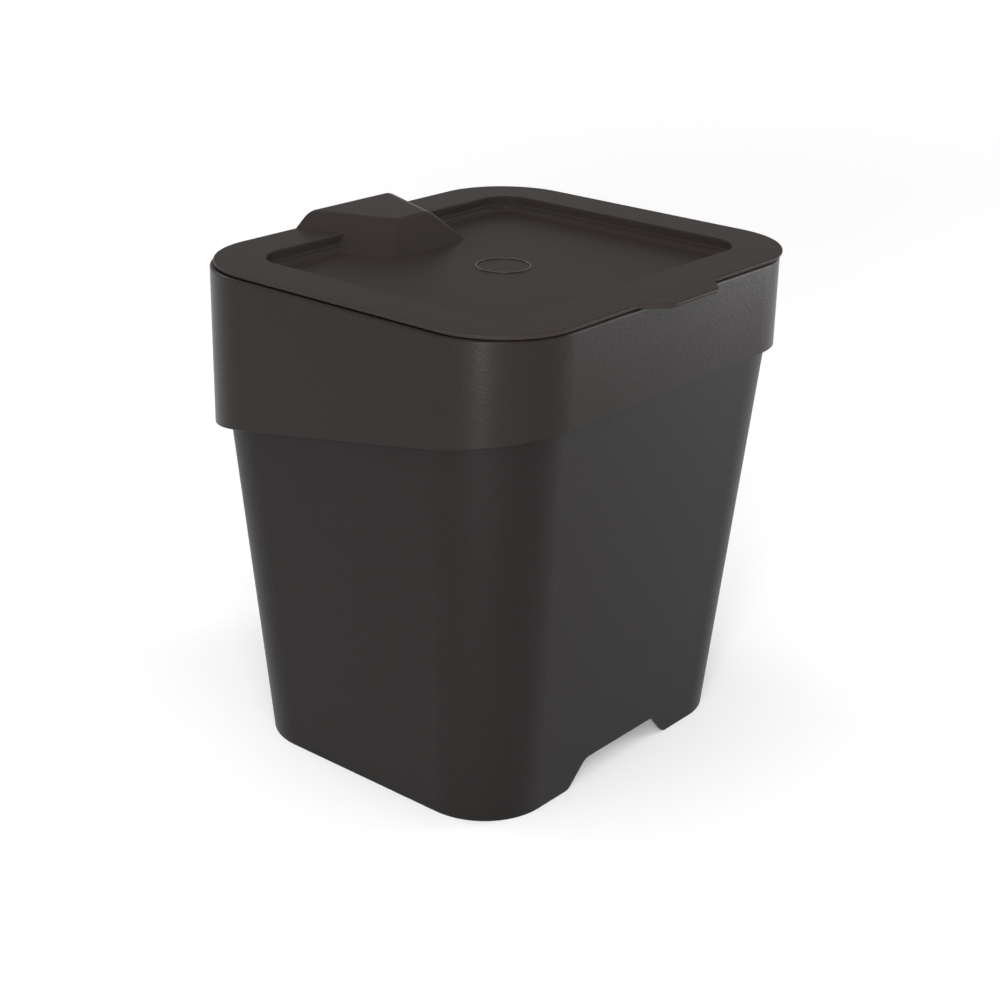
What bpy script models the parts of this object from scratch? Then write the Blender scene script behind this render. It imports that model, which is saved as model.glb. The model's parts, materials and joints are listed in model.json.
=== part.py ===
"""Countertop sink bin in four pieces: bucket, bag ring, lid and hinge pin.

Metres, +Z up. The bin stands on the plane z = 0, with the thumb tab at the front (-Y) and the
hinge at the back (+Y). Every mesh is drawn in the bin's own frame, whose origin is the middle
of the bucket's foot; the frame itself sits a little behind the world's origin.
"""
import math
from collections import namedtuple

import bmesh
import bpy
from mathutils import Matrix, Vector

# Clearances
SEAT_GAP = 0.0003
SIDE_GAP = 0.0003
EYE_GAP = 0.00035
OVERRUN = 0.0005

# Bag ring: outline, walls, and how far its skirt hangs down at the front and the back
RING_WIDTH = 0.1755
RING_DEPTH = 0.1535
RING_CORNER = 0.0325
SKIRT_WALL = 0.0020
SKIRT_FRONT = 0.0331
SKIRT_BACK = 0.0603
SKIRT_TOP_ROUND = 0.0010
SKIRT_FOOT_ROUND = 0.0005
FLANGE_THICKNESS = 0.0022
LIP_THICKNESS = 0.0016
LIP_DEPTH = 0.0125
LIP_GAP = 0.0008
BAG_GAP = 0.0010
FIN_WIDTH = 0.0015
FIN_LENGTH = 0.0240
FIN_PLACE_share = 0.5

# Bucket
RIM_HEIGHT = 0.1804
BUCKET_WALL = 0.0020
BUCKET_TAPER = 0.0119
FOOT_CORNER = 0.0260
SHOULDER_COVER = 0.0015
RIM_ROUND = 0.0006
FLOOR_CLEARANCE = 0.0110
FLOOR_THICKNESS = 0.0022
FLOOR_FILLET = 0.0040
NOTCH_HEIGHT = 0.0097
NOTCH_TOP_WIDTH = 0.0415
NOTCH_FOOT_WIDTH = 0.0595
NOTCH_TOP_ROUND = 0.0050
NOTCH_FOOT_ROUND = 0.0030

# Lid
LID_WALL = 0.0018
LID_SIDE_REVEAL = 0.00055
LID_FRONT_OVERHANG = 0.0008
LID_BACK_REVEAL = 0.0021
LID_CORNER = 0.0312
LID_EDGE_ROUND = 0.0008
BORDER_WIDTH = 0.0185
BORDER_ROUND = 0.0005
STEP_DEPTH = 0.0032
STEP_DRAFT = 0.0004
LEDGE_WIDTH = 0.0009
RECESS_DEPTH = 0.0057
RECESS_DRAFT = 0.0006
RECESS_FILLET = 0.0018
LOCATING_RIB_THICKNESS = 0.0012
LOCATING_RIB_DEPTH = 0.0035
LOCATING_RIB_GAP = 0.0008
TAB_REACH = 0.0077
TAB_ROOT_WIDTH = 0.0434
TAB_TIP_WIDTH = 0.0265
TAB_CORNER = 0.0020
TAB_ROOT_OVERLAP = 0.0040
TAB_SINK = 0.00004

# Hinge cover, a hump that rises from the lid's back border and runs down into the recess
HUMP_RISE = 0.0052
HUMP_TOP_BACK_WIDTH = 0.0450
HUMP_TOP_FRONT_WIDTH = 0.0184
HUMP_TOP_LENGTH = 0.0332
HUMP_FOOT_BACK_WIDTH = 0.0586
HUMP_FOOT_LENGTH = 0.0417
HUMP_ROUND = 0.0030
HUMP_BACK_STEP = 0.0003

# Hinge
PIN_RADIUS = 0.00125
PIN_END_ROUND = 0.0003
PIN_END_REACH = 0.0003
EYE_WALL = 0.0012
LUG_INNER_X = 0.0090
LUG_THICKNESS = 0.0030
LUG_BACK = 0.0024
CLIP_BACK = 0.0002
CLIP_THICKNESS = 0.0025
CLIP_GAP = 0.0004
CLIP_MOUTH_WIDTH = 0.0021
POCKET_END_GAP = 0.0013

# Facets
CORNER_STEPS = 10
ROUND_STEP_ANGLE = math.radians(30)
EYE_STEPS = 24
HUMP_ROUND_STEPS = 3
SHARP_ANGLE = math.radians(30)

# Worked-out outlines and heights
Outline = namedtuple("Outline", "half_x half_y radius centre_y")

RING = Outline(RING_WIDTH / 2, RING_DEPTH / 2, RING_CORNER, 0)
RING_SEAT_Z = RIM_HEIGHT + SEAT_GAP
RING_TOP_Z = RING_SEAT_Z + FLANGE_THICKNESS
BUCKET_INSET = SKIRT_WALL + BAG_GAP
LIP_OUTER_INSET = BUCKET_INSET + BUCKET_WALL + LIP_GAP
MOUTH_INSET = LIP_OUTER_INSET + LIP_THICKNESS
SHOULDER_Z = RING_TOP_Z - SKIRT_FRONT + SHOULDER_COVER

LID_BACK_Y = RING.half_y - LID_BACK_REVEAL
LID_FRONT_Y = -RING.half_y - LID_FRONT_OVERHANG
LID = Outline(
    RING.half_x - LID_SIDE_REVEAL, (LID_BACK_Y - LID_FRONT_Y) / 2, LID_CORNER, (LID_BACK_Y + LID_FRONT_Y) / 2
)
LID_BOTTOM_Z = RING_TOP_Z + SEAT_GAP
LID_TOP_Z = LID_BOTTOM_Z + LID_WALL
RECESS_Z = LID_TOP_Z - RECESS_DEPTH
HUMP_TOP_Z = LID_TOP_Z + HUMP_RISE
HUMP_NARROWING = (HUMP_TOP_BACK_WIDTH - HUMP_TOP_FRONT_WIDTH) / 2 / HUMP_TOP_LENGTH
HUMP_SPLAY = (HUMP_FOOT_BACK_WIDTH - HUMP_TOP_BACK_WIDTH) / 2 / HUMP_RISE
HUMP_FRONT_SLOPE = (HUMP_FOOT_LENGTH - HUMP_TOP_LENGTH) / (HUMP_RISE + RECESS_DEPTH)

EYE_RADIUS = PIN_RADIUS + SIDE_GAP + EYE_WALL
HINGE_Y = LID_BACK_Y - LID_EDGE_ROUND
HINGE_Z = HUMP_TOP_Z - LID_WALL - EYE_GAP - EYE_RADIUS
CLIP_INNER_X = LUG_INNER_X + LUG_THICKNESS + CLIP_GAP
CLIP_OUTER_X = CLIP_INNER_X + CLIP_THICKNESS

BIN_PLACE = Vector((0, (LID_FRONT_OVERHANG + TAB_REACH) / 2, 0))
RING_PLACE = Vector((0, 0, RING_SEAT_Z))
LID_PLACE = Vector((0, HINGE_Y, HINGE_Z))

CHARCOAL = (0.0405, 0.0365, 0.0345, 1)
PLASTIC_ROUGHNESS = 0.55


def clear_scene():
    for obj in list(bpy.data.objects):
        bpy.data.objects.remove(obj, do_unlink=True)


def new_collection(name):
    collection = bpy.data.collections.new(name)
    bpy.context.scene.collection.children.link(collection)
    return collection


def new_empty(name, collection, place, parent=None, parent_place=Vector()):
    """An empty at a place of the bin's frame, under a parent that stands at its own place."""
    empty = bpy.data.objects.new(name, None)
    collection.objects.link(empty)
    empty.parent = parent
    empty.location = place - parent_place
    return empty


def carry(obj, carrier, carrier_place):
    """Parent an object, drawn in the bin's frame, to an empty that stands at carrier_place."""
    obj.parent = carrier
    obj.location = obj.location - carrier_place


def to_object(name, bm, collection):
    mesh = bpy.data.meshes.new(name)
    bm.to_mesh(mesh)
    bm.free()
    mesh.shade_smooth()
    mesh.set_sharp_from_angle(angle=SHARP_ANGLE)
    obj = bpy.data.objects.new(name, mesh)
    collection.objects.link(obj)
    return obj


def as_cutter(obj):
    obj.hide_render = True
    obj.display_type = "WIRE"
    return obj


def boolean(target, tool, operation):
    modifier = target.modifiers.new(tool.name, "BOOLEAN")
    modifier.operation = operation
    modifier.object = tool
    modifier.solver = "EXACT"


def plastic(name):
    material = bpy.data.materials.new(name)
    material.use_nodes = True
    shader = material.node_tree.nodes["Principled BSDF"]
    shader.inputs["Base Color"].default_value = CHARCOAL
    shader.inputs["Roughness"].default_value = PLASTIC_ROUGHNESS
    shader.inputs["Metallic"].default_value = 0
    return material


def shrink(outline, distance):
    """The outline moved inwards, with its corner rounds, which end at a sharp corner."""
    return Outline(
        outline.half_x - distance,
        outline.half_y - distance,
        max(outline.radius - distance, OVERRUN),
        outline.centre_y,
    )


def soften(corners):
    """Replace each corner (a, b, round) of a path by points along its round."""
    points = []
    for index, (a, b, radius) in enumerate(corners):
        if not radius:
            points.append((a, b))
            continue
        here = Vector((a, b))
        before = (Vector(corners[index - 1][:2]) - here).normalized()
        after = (Vector(corners[(index + 1) % len(corners)][:2]) - here).normalized()
        turn = math.pi - before.angle(after)
        run = radius * math.tan(turn / 2)
        start, end = here + before * run, here + after * run
        centre = here + (before + after).normalized() * math.hypot(run, radius)
        steps = max(1, math.ceil(turn / ROUND_STEP_ANGLE))
        for step in range(steps + 1):
            spoke = (start - centre).slerp(end - centre, step / steps) * radius
            points.append(tuple(centre + spoke))
    return points


def rounded_loop(bm, outline, height):
    """Add the vertices of a rounded rectangle at a height, and return them in order."""
    verts = []
    for quarter, (side_x, side_y) in enumerate(((1, 1), (-1, 1), (-1, -1), (1, -1))):
        for step in range(CORNER_STEPS + 1):
            angle = (quarter + step / CORNER_STEPS) * math.pi / 2
            x = side_x * (outline.half_x - outline.radius) + outline.radius * math.cos(angle)
            y = side_y * (outline.half_y - outline.radius) + outline.radius * math.sin(angle)
            verts.append(bm.verts.new((x, outline.centre_y + y, height)))
    return verts


def loft(name, collection, profile, outline_at, closed=False):
    """Carry a profile of (inset, height) points round a rounded rectangle, into one solid.

    An open profile is capped at both ends, and a closed one makes a ring.
    """
    bm = bmesh.new()
    loops = [rounded_loop(bm, shrink(outline_at(height), inset), height) for inset, height in profile]
    bands = list(zip(loops, loops[1:]))
    if closed:
        bands.append((loops[-1], loops[0]))
    else:
        bm.faces.new(loops[0])
        bm.faces.new(loops[-1])
    for one, other in bands:
        for quad in zip(one, one[1:] + one[:1], other[1:] + other[:1], other):
            bm.faces.new(quad)
    bmesh.ops.recalc_face_normals(bm, faces=bm.faces)
    return to_object(name, bm, collection)


def add_box(bm, low, high):
    """Add a box between two corners to a bmesh, and return its vertices."""
    low, high = Vector(low), Vector(high)
    size = Matrix.Diagonal((high - low).to_4d())
    size[3][3] = 1
    return bmesh.ops.create_cube(bm, size=1, matrix=Matrix.Translation((low + high) / 2) @ size)["verts"]


def boxes(name, collection, corners):
    bm = bmesh.new()
    for low, high in corners:
        add_box(bm, low, high)
    return to_object(name, bm, collection)


def extrude_outline(bm, points, depth):
    """Add a flat outline of 3-D points and push it along depth into a prism."""
    face = bm.faces.new([bm.verts.new(point) for point in points])
    pushed = bmesh.ops.extrude_face_region(bm, geom=[face])["geom"]
    bmesh.ops.translate(bm, vec=depth, verts=[item for item in pushed if isinstance(item, bmesh.types.BMVert)])
    bmesh.ops.recalc_face_normals(bm, faces=bm.faces)


def rod(name, collection, radius, length, steps):
    """A round bar along X, centred on the hinge axis."""
    bm = bmesh.new()
    bmesh.ops.create_cone(
        bm, cap_ends=True, segments=steps, radius1=radius, radius2=radius, depth=length,
        matrix=Matrix.Rotation(math.pi / 2, 4, "Y"),
    )
    obj = to_object(name, bm, collection)
    obj.location = LID_PLACE
    return obj


def bucket_outline(height):
    """The bucket's outer outline: upright above the shoulder, drawn in towards the foot below."""
    top = shrink(RING, BUCKET_INSET)
    drawn_in = max(0, 1 - height / SHOULDER_Z)
    return Outline(
        top.half_x - BUCKET_TAPER * drawn_in,
        top.half_y - BUCKET_TAPER * drawn_in,
        top.radius + (FOOT_CORNER - top.radius) * drawn_in,
        0,
    )


def make_bucket(parts, tools):
    floor_z = FLOOR_CLEARANCE + FLOOR_THICKNESS
    profile = soften([
        (BUCKET_WALL, FLOOR_CLEARANCE, 0),
        (BUCKET_WALL, 0, 0),
        (0, 0, 0),
        (0, SHOULDER_Z, 0),
        (0, RIM_HEIGHT, RIM_ROUND),
        (BUCKET_WALL, RIM_HEIGHT, RIM_ROUND),
        (BUCKET_WALL, SHOULDER_Z, 0),
        (BUCKET_WALL, floor_z, FLOOR_FILLET),
        (BUCKET_WALL + FLOOR_FILLET * 2, floor_z, 0),
    ])
    bucket = loft("bucket", parts, profile, bucket_outline)

    half_top, half_foot = NOTCH_TOP_WIDTH / 2, NOTCH_FOOT_WIDTH / 2
    slope = (half_foot - half_top) / NOTCH_HEIGHT
    edge = half_foot + slope * OVERRUN
    flare = edge + NOTCH_FOOT_ROUND * 2
    outline = soften([
        (-flare, -OVERRUN * 2, 0),
        (-flare, -OVERRUN, 0),
        (-edge, -OVERRUN, NOTCH_FOOT_ROUND),
        (-half_top, NOTCH_HEIGHT, NOTCH_TOP_ROUND),
        (half_top, NOTCH_HEIGHT, NOTCH_TOP_ROUND),
        (edge, -OVERRUN, NOTCH_FOOT_ROUND),
        (flare, -OVERRUN, 0),
        (flare, -OVERRUN * 2, 0),
    ])
    bm = bmesh.new()
    extrude_outline(bm, [(x, -RING.half_y, z) for x, z in outline], (0, RING_DEPTH, 0))
    notches = as_cutter(to_object("foot_notches", bm, tools))
    boolean(bucket, notches, "DIFFERENCE")
    return [bucket], [notches]


def skirt_drop(y):
    """How much lower than at the front the skirt's slanted edge lies at y."""
    return (SKIRT_BACK - SKIRT_FRONT) * (y + RING.half_y) / RING_DEPTH


def ring_fins():
    """Corners of the upright fins inside the skirt that centre it on the bucket's rim."""
    top = RING_SEAT_Z + FLANGE_THICKNESS / 2
    foot = RING_SEAT_Z - FIN_LENGTH
    reach = BUCKET_INSET - SIDE_GAP
    root = SKIRT_WALL / 2
    half = FIN_WIDTH / 2
    fins = []
    for side in (-1, 1):
        for step in (-1, 1):
            x = step * RING.half_x * FIN_PLACE_share
            y = step * RING.half_y * FIN_PLACE_share
            across = sorted((side * (RING.half_x - root), side * (RING.half_x - reach)))
            along = sorted((side * (RING.half_y - root), side * (RING.half_y - reach)))
            fins.append(((across[0], y - half, foot), (across[1], y + half, top)))
            fins.append(((x - half, along[0], foot), (x + half, along[1], top)))
    return fins


def eye_outline(back, far_z):
    """A round eye about the hinge axis that runs on to far_z, as (y, z) from the axis.

    Its front side is tangent to the eye, and its back side stands at y = back.
    """
    side = math.copysign(1, far_z)
    sweep = math.pi + math.acos(back / EYE_RADIUS)
    points = [(-EYE_RADIUS, far_z)]
    for step in range(EYE_STEPS + 1):
        angle = math.pi + sweep * step / EYE_STEPS
        points.append((EYE_RADIUS * math.cos(angle), side * EYE_RADIUS * math.sin(angle)))
    points.append((back, far_z))
    return points


def eye_pair(name, collection, inner_x, thickness, back, far_z):
    bm = bmesh.new()
    for start in (-inner_x - thickness, inner_x):
        points = [(start, HINGE_Y + y, HINGE_Z + z) for y, z in eye_outline(back, far_z)]
        extrude_outline(bm, points, (thickness, 0, 0))
    return to_object(name, bm, collection)


def make_ring(parts, tools):
    foot_z = RING_TOP_Z - SKIRT_FRONT
    profile = soften([
        (0, foot_z, SKIRT_FOOT_ROUND),
        (0, RING_TOP_Z, SKIRT_TOP_ROUND),
        (MOUTH_INSET, RING_TOP_Z, RIM_ROUND),
        (MOUTH_INSET, RING_SEAT_Z - LIP_DEPTH, RIM_ROUND),
        (LIP_OUTER_INSET, RING_SEAT_Z - LIP_DEPTH, RIM_ROUND),
        (LIP_OUTER_INSET, RING_SEAT_Z, 0),
        (SKIRT_WALL, RING_SEAT_Z, 0),
        (SKIRT_WALL, foot_z, SKIRT_FOOT_ROUND),
    ])
    ring = loft("bag_ring", parts, profile, lambda height: RING, closed=True)
    for vert in ring.data.vertices:
        if vert.co.z <= foot_z + SKIRT_FOOT_ROUND + OVERRUN:
            vert.co.z -= skirt_drop(vert.co.y)

    fins = boxes("ring_fins", tools, ring_fins())
    pocket_x = CLIP_OUTER_X + POCKET_END_GAP
    pocket_y = HINGE_Y - EYE_RADIUS - EYE_GAP
    pocket_z = HINGE_Z - EYE_RADIUS - EYE_GAP
    pocket = boxes("ring_pocket", tools, [(
        (-pocket_x, pocket_y, pocket_z),
        (pocket_x, RING.half_y + OVERRUN, RING_TOP_Z + OVERRUN),
    )])
    lug_foot = RING_SEAT_Z + FLANGE_THICKNESS / 4 - HINGE_Z
    lugs = eye_pair("ring_lugs", tools, LUG_INNER_X, LUG_THICKNESS, LUG_BACK, lug_foot)
    bore = rod("lug_bore", tools, PIN_RADIUS + SIDE_GAP, 2 * CLIP_OUTER_X, EYE_STEPS)
    boolean(ring, fins, "UNION")
    boolean(ring, pocket, "DIFFERENCE")
    boolean(ring, lugs, "UNION")
    boolean(ring, bore, "DIFFERENCE")
    return [ring], [as_cutter(tool) for tool in (fins, pocket, lugs, bore)]


def make_pin(parts):
    length = 2 * (CLIP_OUTER_X + PIN_END_REACH)
    pin = rod("hinge_pin", parts, PIN_RADIUS, length, EYE_STEPS)
    bevel = pin.modifiers.new("end_round", "BEVEL")
    bevel.width = PIN_END_ROUND
    bevel.segments = 1
    bevel.limit_method = "ANGLE"
    return [pin]


def hump_block(name, collection, wall, bottom_z, back_y, edge_round):
    """The hinge cover's solid, or its hollow when drawn one wall further in.

    Its sides and front are flat. They splay out as they go down, and the sides narrow forwards.
    """
    bm = bmesh.new()
    verts = bmesh.ops.create_cube(bm, size=2)["verts"]
    rounded = [
        edge for edge in bm.edges
        if all(vert.co.y < 0 for vert in edge.verts) and any(vert.co.z > 0 for vert in edge.verts)
        or all(vert.co.z > 0 for vert in edge.verts) and any(vert.co.y < 0 for vert in edge.verts)
    ]
    for vert in verts:
        z = HUMP_TOP_Z - wall if vert.co.z > 0 else bottom_z
        down = HUMP_TOP_Z - z
        front_y = LID_BACK_Y - HUMP_TOP_LENGTH - HUMP_FRONT_SLOPE * down
        y = back_y if vert.co.y > 0 else front_y + wall * math.hypot(1, HUMP_FRONT_SLOPE)
        flank = HUMP_TOP_BACK_WIDTH / 2 - HUMP_NARROWING * (LID_BACK_Y - y) + HUMP_SPLAY * down
        half = flank - wall * math.hypot(1, HUMP_NARROWING, HUMP_SPLAY)
        vert.co = (math.copysign(half, vert.co.x), y, z)
    bmesh.ops.bevel(
        bm, geom=rounded, offset=edge_round, offset_type="OFFSET", segments=HUMP_ROUND_STEPS,
        profile=0.5, affect="EDGES", material=-1,
    )
    bmesh.ops.recalc_face_normals(bm, faces=bm.faces)
    return to_object(name, bm, collection)


def lid_sheet(parts):
    """The lid's plate: edge, flat border, two steps down and the sunk floor."""
    wall_foot = BORDER_WIDTH + STEP_DRAFT
    floor_edge = wall_foot + LEDGE_WIDTH
    under_z = LID_TOP_Z - STEP_DEPTH - LID_WALL
    profile = soften([
        (floor_edge + RECESS_DRAFT + RECESS_FILLET * 2, RECESS_Z, 0),
        (floor_edge + RECESS_DRAFT, RECESS_Z, RECESS_FILLET),
        (floor_edge, LID_TOP_Z - STEP_DEPTH, 0),
        (wall_foot, LID_TOP_Z - STEP_DEPTH, 0),
        (BORDER_WIDTH, LID_TOP_Z, BORDER_ROUND),
        (0, LID_TOP_Z, LID_EDGE_ROUND),
        (0, LID_BOTTOM_Z, LID_EDGE_ROUND),
        (BORDER_WIDTH - LID_WALL, LID_BOTTOM_Z, 0),
        (wall_foot - LID_WALL, under_z, 0),
        (floor_edge - LID_WALL, under_z, 0),
        (floor_edge + RECESS_DRAFT - LID_WALL, RECESS_Z - LID_WALL, RECESS_FILLET),
        (floor_edge + RECESS_DRAFT + RECESS_FILLET * 2, RECESS_Z - LID_WALL, 0),
    ])
    return loft("lid", parts, profile, lambda height: LID)


def lid_tab(tools):
    """The thumb tab: a flat tongue that narrows forwards from the middle of the front edge."""
    root, tip = TAB_ROOT_WIDTH / 2, TAB_TIP_WIDTH / 2
    inner_y, tip_y = LID_FRONT_Y + TAB_ROOT_OVERLAP, LID_FRONT_Y - TAB_REACH
    outline = soften([
        (root, inner_y, 0), (root, LID_FRONT_Y, 0), (tip, tip_y, TAB_CORNER),
        (-tip, tip_y, TAB_CORNER), (-root, LID_FRONT_Y, 0), (-root, inner_y, 0),
    ])
    bm = bmesh.new()
    extrude_outline(bm, [(x, y, LID_BOTTOM_Z + TAB_SINK) for x, y in outline], (0, 0, LID_WALL - 2 * TAB_SINK))
    return to_object("lid_tab", bm, tools)


def lid_hump(tools):
    """The hinge cover, cut away below the middle of the lid's border so that it stands on it."""
    hump = hump_block(
        "lid_hump", tools, 0, RECESS_Z - LID_WALL / 2, LID_BACK_Y - HUMP_BACK_STEP, HUMP_ROUND
    )
    inner = BORDER_WIDTH - LID_WALL / 2
    outer = -OVERRUN
    top_z = LID_TOP_Z - LID_WALL / 2
    bottom_z = RECESS_Z - LID_WALL
    profile = [(outer, bottom_z), (outer, top_z), (inner, top_z), (inner, bottom_z)]
    trim = loft("hump_trim", tools, profile, lambda height: LID, closed=True)
    boolean(hump, trim, "DIFFERENCE")
    return hump, trim


def locating_rib(tools):
    """The low rib under the border that centres the lid in the ring's mouth."""
    outer = MOUTH_INSET + LOCATING_RIB_GAP
    inner = outer + LOCATING_RIB_THICKNESS
    foot_z = LID_BOTTOM_Z - LOCATING_RIB_DEPTH
    root_z = LID_BOTTOM_Z + LID_WALL / 2
    profile = [(outer, foot_z), (outer, root_z), (inner, root_z), (inner, foot_z)]
    return loft("locating_rib", tools, profile, lambda height: RING, closed=True)


def make_lid(parts, tools):
    lid = lid_sheet(parts)
    tab = lid_tab(tools)
    rib = locating_rib(tools)
    hump, trim = lid_hump(tools)
    hollow = hump_block(
        "hump_hollow", tools, LID_WALL, RECESS_Z - LID_WALL - OVERRUN, LID_BACK_Y + OVERRUN,
        HUMP_ROUND - LID_WALL,
    )
    clip_root = HUMP_TOP_Z - LID_WALL / 2 - HINGE_Z
    clips = eye_pair("lid_clips", tools, CLIP_INNER_X, CLIP_THICKNESS, CLIP_BACK, clip_root)
    bore = rod("clip_bore", tools, PIN_RADIUS + SIDE_GAP, 2 * CLIP_OUTER_X + 2 * OVERRUN, EYE_STEPS)
    mouth_half = CLIP_MOUTH_WIDTH / 2
    mouths = boxes("clip_mouths", tools, [(
        (-CLIP_OUTER_X - OVERRUN, HINGE_Y - mouth_half, HINGE_Z - EYE_RADIUS - OVERRUN),
        (CLIP_OUTER_X + OVERRUN, HINGE_Y + mouth_half, HINGE_Z - PIN_RADIUS / 2),
    )])
    boolean(lid, tab, "UNION")
    boolean(lid, rib, "UNION")
    boolean(lid, hump, "UNION")
    boolean(lid, hollow, "DIFFERENCE")
    boolean(lid, clips, "UNION")
    boolean(lid, bore, "DIFFERENCE")
    boolean(lid, mouths, "DIFFERENCE")
    return [lid], [as_cutter(tool) for tool in (tab, rib, hump, trim, hollow, clips, bore, mouths)]


def main():
    clear_scene()
    parts = new_collection("sink_trash_bin")
    tools = new_collection("cutters")
    bin_frame = new_empty("bin_frame", parts, BIN_PLACE)
    ring_frame = new_empty("ring_lift", parts, RING_PLACE, bin_frame)
    lid_frame = new_empty("lid_axis", parts, LID_PLACE, ring_frame, RING_PLACE)

    bucket_parts, bucket_tools = make_bucket(parts, tools)
    ring_parts, ring_tools = make_ring(parts, tools)
    lid_parts, lid_tools = make_lid(parts, tools)
    pin_parts = make_pin(parts)
    for obj in bucket_parts + bucket_tools:
        carry(obj, bin_frame, Vector())
    for obj in ring_parts + ring_tools + pin_parts:
        carry(obj, ring_frame, RING_PLACE)
    for obj in lid_parts + lid_tools:
        carry(obj, lid_frame, LID_PLACE)
    for obj in bucket_parts + ring_parts + lid_parts + pin_parts:
        obj.data.materials.append(plastic(obj.name + "_polypropylene"))


main()
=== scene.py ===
"""Looks of a countertop sink bin: tapered bucket, lift-off bag ring, hinged lid and hinge pin.

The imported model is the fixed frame. Lengths are in metres and +Z is up. Every piece is drawn
with the middle of the bucket's foot at x = y = 0, the thumb tab at the front (-Y) and the hinge
at the back (+Y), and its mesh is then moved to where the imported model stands.
"""
import json
import math
from collections import namedtuple

import bmesh
import bpy
from mathutils import Matrix, Vector


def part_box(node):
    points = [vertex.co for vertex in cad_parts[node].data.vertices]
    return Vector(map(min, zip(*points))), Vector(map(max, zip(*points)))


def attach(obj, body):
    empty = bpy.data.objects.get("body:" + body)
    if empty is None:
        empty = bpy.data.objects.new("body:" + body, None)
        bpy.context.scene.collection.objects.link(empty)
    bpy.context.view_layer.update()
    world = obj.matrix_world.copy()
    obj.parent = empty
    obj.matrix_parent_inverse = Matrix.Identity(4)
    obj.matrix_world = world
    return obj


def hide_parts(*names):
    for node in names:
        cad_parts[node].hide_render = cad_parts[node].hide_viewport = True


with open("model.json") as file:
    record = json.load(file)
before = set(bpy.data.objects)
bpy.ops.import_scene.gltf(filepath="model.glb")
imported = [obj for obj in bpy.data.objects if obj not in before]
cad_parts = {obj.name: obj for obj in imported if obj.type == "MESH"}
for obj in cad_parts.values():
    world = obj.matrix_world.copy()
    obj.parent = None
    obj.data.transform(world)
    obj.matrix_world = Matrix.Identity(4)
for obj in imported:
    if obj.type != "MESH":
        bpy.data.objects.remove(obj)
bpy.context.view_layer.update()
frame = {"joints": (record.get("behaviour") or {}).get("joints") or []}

bl_info = {
    "name": "Sink trash bin",
    "version": (1, 0, 0),
    "blender": (4, 5, 0),
    "location": "3D View > Sidebar > Sink bin",
    "description": "Builds the visible pieces of a countertop sink bin on its packed model",
    "category": "Add Mesh",
}

MM = 0.001

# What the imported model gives
RING_LOW, RING_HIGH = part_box("bag_ring")
BUCKET_LOW, BUCKET_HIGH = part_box("bucket")
PIN_LOW, PIN_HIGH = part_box("hinge_pin")
HINGE = Vector(next(joint["pos_m"] for joint in frame["joints"] if joint["name"] == "lid_hinge"))
BIN_PLACE = Vector((0, (BUCKET_LOW.y + BUCKET_HIGH.y) / 2, 0))

# Clearances and walls
SEAT_GAP = 0.0003
SIDE_GAP = 0.0003
EYE_GAP = 0.00035
OVERRUN = 0.0005
SKIRT_WALL = 0.0020
BAG_GAP = 0.0010
BUCKET_WALL = 0.0020
LID_WALL = 0.0018

# Bag ring
SKIRT_TOP_ROUND = 0.0010
SKIRT_FOOT_ROUND = 0.00025
FLANGE_THICKNESS = 0.0022
LIP_THICKNESS = 0.0016
LIP_DEPTH = 0.0125
LIP_GAP = 0.0008
FIN_WIDTH = 0.0015
FIN_LENGTH = 0.0240

# Bucket
SHOULDER_COVER = 0.0015
RIM_ROUND = 0.0006
FLOOR_CLEARANCE = 0.0110
FLOOR_THICKNESS = 0.0022
FLOOR_FILLET = 0.0040
FOOT_ROUND = 0.0004
NOTCH_DRAFT = 0.0090
NOTCH_TOP_ROUND = 0.0050
NOTCH_FOOT_ROUND = 0.0030

# Lid
LID_CORNER = 0.0312
LID_TOP_ROUND = 0.0006
LID_FOOT_ROUND = 0.0011
LID_FRONT_OVERHANG = 0.0008
LID_BACK_REVEAL = 0.0021
LID_SIDE_REVEAL = 0.00055
BORDER_ROUND = 0.0005
STEP_DEPTH = 0.0032
STEP_DRAFT = 0.0004
LEDGE_WIDTH = 0.0009
LEDGE_ROUND = 0.0003
RECESS_DRAFT = 0.0006
RECESS_FILLET = 0.0018
RIB_THICKNESS = 0.0012
RIB_DEPTH = 0.0035
RIB_GAP = 0.0008
TAB_NARROWING = 0.00845
TAB_CORNER = 0.0020
TAB_ROOT_OVERLAP = 0.0040
TAB_SINK = 0.00004
TAB_EDGE_ROUND = 0.0006

# Hinge cover on the lid
HUMP_TOP_BACK_WIDTH = 0.0450
HUMP_TOP_FRONT_WIDTH = 0.0184
HUMP_TOP_LENGTH = 0.0332
HUMP_FOOT_BACK_WIDTH = 0.0586
HUMP_FOOT_LENGTH = 0.0417
HUMP_ROUND = 0.0030
HUMP_BACK_STEP = 0.0003

# Hinge
PIN_RADIUS = 0.00125
PIN_END_ROUND = 0.0003
EYE_WALL = 0.0012
EYE_RADIUS = PIN_RADIUS + SIDE_GAP + EYE_WALL
LUG_INNER_X = 0.0090
LUG_THICKNESS = 0.0030
LUG_BACK = 0.0024
CLIP_BACK = 0.0002
CLIP_THICKNESS = 0.0025
CLIP_GAP = 0.0004
CLIP_MOUTH_WIDTH = 0.0021
CLIP_INNER_X = LUG_INNER_X + LUG_THICKNESS + CLIP_GAP
CLIP_OUTER_X = CLIP_INNER_X + CLIP_THICKNESS
POCKET_END_GAP = 0.0013

# Plain raised circle in the middle of the lid
CIRCLE_THICKNESS = 0.0008
CIRCLE_HEIGHT = 0.00035
CIRCLE_ROUND = 0.00015
CIRCLE_SINK = 0.0001

# Fineness
CORNER_STEPS = 24
STRAIGHT_CUTS = 90
ROUND_STEPS = 5
HUMP_STEPS = 9
EYE_STEPS = 40
CIRCLE_STEPS = 96
SHARP_ANGLE = math.radians(30)
MERGE_DISTANCE = MM / 1000

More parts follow.
